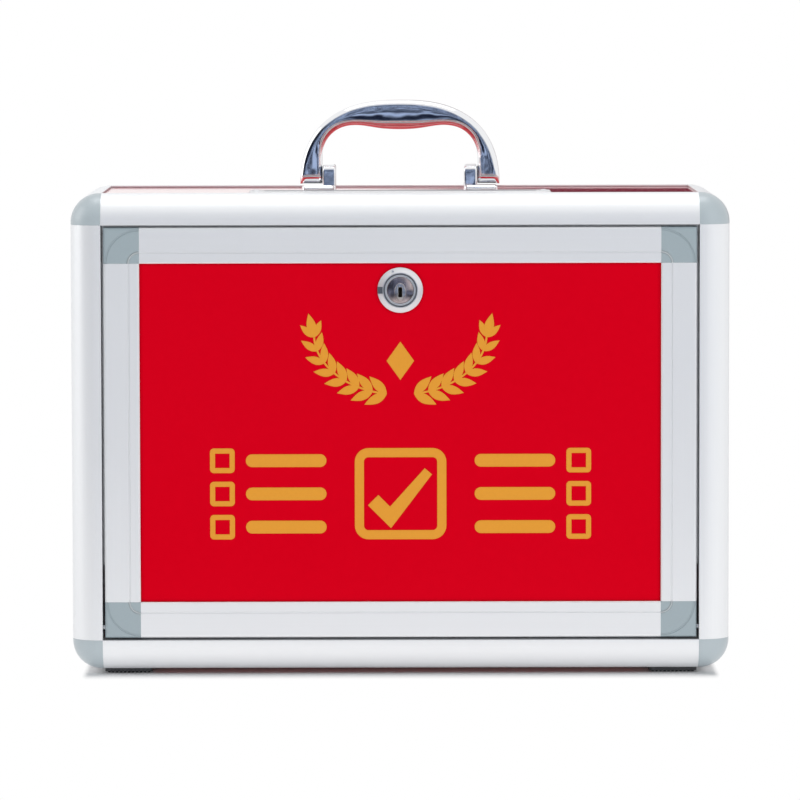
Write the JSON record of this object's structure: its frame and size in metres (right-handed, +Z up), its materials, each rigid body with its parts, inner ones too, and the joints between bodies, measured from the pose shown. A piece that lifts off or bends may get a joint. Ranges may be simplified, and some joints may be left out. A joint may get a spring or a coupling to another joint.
{
  "type": "ballot box",
  "caption": "Portable ballot box with rounded aluminium edge rails, red panels, a slotted top under a folding handle, and a locking front door hinged at its bottom edge.",
  "frame": {"origin": "on the table under the middle of the box, level with the feet's undersides", "axes": "+Z up, +X along the width to the right as seen from the front, and the door faces -Y"},
  "size_m": [0.36, 0.14, 0.3134],
  "materials": {
    "frame_aluminium": "satin anodised",
    "corner_plastic": "satin moulded, blue-grey",
    "red_board": "glossy red laminate",
    "chrome": "polished",
    "bezel_aluminium": "satin",
    "lock_metal": "satin nickel plate",
    "steel": "zinc plated",
    "foot_plastic": "dark grey, ribbed"
  },
  "bodies": {
    "frame": {"front_top_rail": "frame_aluminium", "back_top_rail": "frame_aluminium", "left_top_rail": "frame_aluminium", "right_top_rail": "frame_aluminium", "front_bottom_rail": "frame_aluminium", "back_bottom_rail": "frame_aluminium", "left_bottom_rail": "frame_aluminium", "right_bottom_rail": "frame_aluminium", "front_left_post": "frame_aluminium", "foot_front_left": "foot_plastic", "corner_front_left_top": "corner_plastic", "corner_front_left_bottom": "corner_plastic", "back_left_post": "frame_aluminium", "foot_back_left": "foot_plastic", "corner_back_left_top": "corner_plastic", "corner_back_left_bottom": "corner_plastic", "left_panel": "red_board", "handle_lug_left": "chrome", "handle_pin_left": "steel", "hinge_pin_left": "steel", "front_right_post": "frame_aluminium", "foot_front_right": "foot_plastic", "corner_front_right_top": "corner_plastic", "corner_front_right_bottom": "corner_plastic", "back_right_post": "frame_aluminium", "foot_back_right": "foot_plastic", "corner_back_right_top": "corner_plastic", "corner_back_right_bottom": "corner_plastic", "right_panel": "red_board", "handle_lug_right": "chrome", "handle_pin_right": "steel", "hinge_pin_right": "steel", "back_panel": "red_board", "bottom_panel": "red_board", "top_panel": "red_board", "slot_bezel": "bezel_aluminium", "slot_rivets": "steel", "lug_screws": "steel", "foot_screws": "steel", "foot_nuts": "steel"},
    "door": {"door_top_rail": "frame_aluminium", "door_bottom_rail": "frame_aluminium", "door_left_rail": "frame_aluminium", "door_corner_left_top": "corner_plastic", "door_corner_left_bottom": "corner_plastic", "door_right_rail": "frame_aluminium", "door_corner_right_top": "corner_plastic", "door_corner_right_bottom": "corner_plastic", "door_panel": "red_board", "lock_housing": "lock_metal", "lock_nut": "steel"},
    "lock_cylinder": {"lock_plug": "lock_metal", "lock_cam": "steel", "cam_screw": "steel"},
    "handle": {"handle": "chrome"}
  },
  "joints": [
    {"name": "door_hinge", "type": "hinge", "parent": "frame", "child": "door", "pos_m": [0, -0.0645, 0.0268], "axis": [1, 0, 0], "range_deg": [0, 95]},
    {"name": "lock_turn", "type": "hinge", "parent": "door", "child": "lock_cylinder", "pos_m": [0, -0.0526, 0.2114], "axis": [0, 1, 0], "range_deg": [0, 90]},
    {"name": "handle_fold", "type": "hinge", "parent": "frame", "child": "handle", "pos_m": [0, 0, 0.2719], "axis": [1, 0, 0], "range_deg": [-85, 85]}
  ]
}
